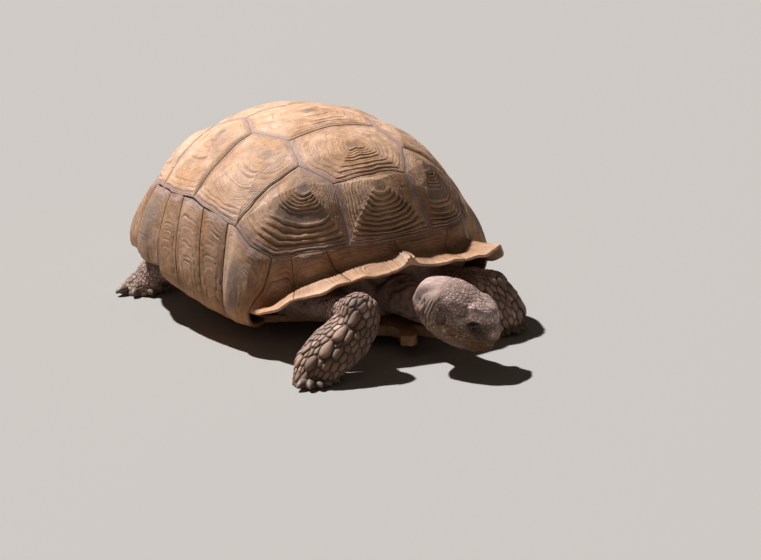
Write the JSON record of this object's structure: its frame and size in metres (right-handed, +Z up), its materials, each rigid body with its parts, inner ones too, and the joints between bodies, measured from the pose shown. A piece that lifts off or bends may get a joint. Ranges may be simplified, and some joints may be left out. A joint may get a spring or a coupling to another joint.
{
  "type": "sulcata tortoise",
  "caption": "Life-size still model of an adult male African spurred tortoise in mid-stride, head held low, high domed shell with an upturned front rim.",
  "frame": {"origin": "middle of the animal's bounding box, on the floor under it", "axes": "+X towards the animal's own left, +Y towards the tail, +Z up"},
  "size_m": [0.5648, 0.8991, 0.3404],
  "materials": {
    "carapace": "worn horn scutes, tan to brown, with growth rings",
    "plastron": "smooth yellow-brown horn",
    "skin": "dry scaly hide, pinkish grey-brown",
    "eye": "wet and dark",
    "claw": "worn grey-brown horn"
  },
  "bodies": {
    "root": {"vertebral_1": "carapace", "vertebral_2": "carapace", "vertebral_3": "carapace", "vertebral_4": "carapace", "vertebral_5": "carapace", "costal_left_1": "carapace", "costal_right_1": "carapace", "costal_left_2": "carapace", "costal_right_2": "carapace", "costal_left_3": "carapace", "costal_right_3": "carapace", "costal_left_4": "carapace", "costal_right_4": "carapace", "marginal_left_1": "carapace", "marginal_right_1": "carapace", "marginal_left_2": "carapace", "marginal_right_2": "carapace", "marginal_left_3": "carapace", "marginal_right_3": "carapace", "marginal_left_4": "carapace", "marginal_right_4": "carapace", "marginal_left_5": "carapace", "marginal_right_5": "carapace", "marginal_left_6": "carapace", "marginal_right_6": "carapace", "marginal_left_7": "carapace", "marginal_right_7": "carapace", "marginal_left_8": "carapace", "marginal_right_8": "carapace", "marginal_left_9": "carapace", "marginal_right_9": "carapace", "marginal_left_10": "carapace", "marginal_right_10": "carapace", "marginal_left_11": "carapace", "marginal_right_11": "carapace", "supracaudal": "carapace", "plastron_gular": "plastron", "plastron_humeral": "plastron", "plastron_pectoral": "plastron", "plastron_abdominal": "plastron", "plastron_femoral": "plastron", "plastron_anal": "plastron", "fore_right_upper_leg": "skin", "fore_right_foot": "skin", "fore_left_upper_leg": "skin", "fore_left_foot": "skin", "hind_right_upper_leg": "skin", "hind_right_foot": "skin", "hind_left_upper_leg": "skin", "hind_left_foot": "skin", "tail": "skin", "trunk": "skin", "eye_left": "eye", "eye_right": "eye", "neck": "skin", "head": "skin", "lower_jaw": "skin"}
  },
  "joints": []
}
